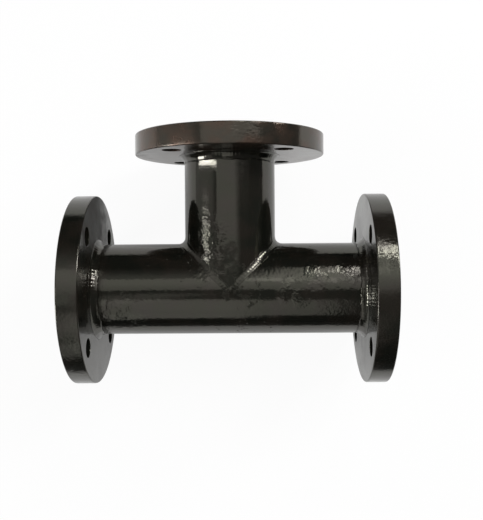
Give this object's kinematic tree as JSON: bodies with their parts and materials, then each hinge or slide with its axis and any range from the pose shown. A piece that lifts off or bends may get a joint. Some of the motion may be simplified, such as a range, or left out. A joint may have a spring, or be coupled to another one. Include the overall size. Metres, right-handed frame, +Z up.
{
  "type": "flanged tee",
  "caption": "Welded steel pipe tee: a straight run tube, an equal branch at its middle and a drilled slip-on flange on each end, painted gloss black.",
  "frame": {"origin": "where the axis of the run and the axis of the branch cross", "axes": "+X along the run, +Y along the branch towards its flange, +Z up; the tee lies on the rims of its three flanges"},
  "size_m": [0.3048, 0.2449, 0.185],
  "materials": {
    "tube_paint": "gloss",
    "flange_paint": "gloss",
    "weld_paint": "gloss"
  },
  "bodies": {
    "root": {"run_pipe": "tube_paint", "branch_pipe": "tube_paint", "saddle_weld": "weld_paint", "right_flange": "flange_paint", "left_flange": "flange_paint", "branch_flange": "flange_paint", "back_welds": "weld_paint", "face_welds": "weld_paint"}
  },
  "joints": []
}
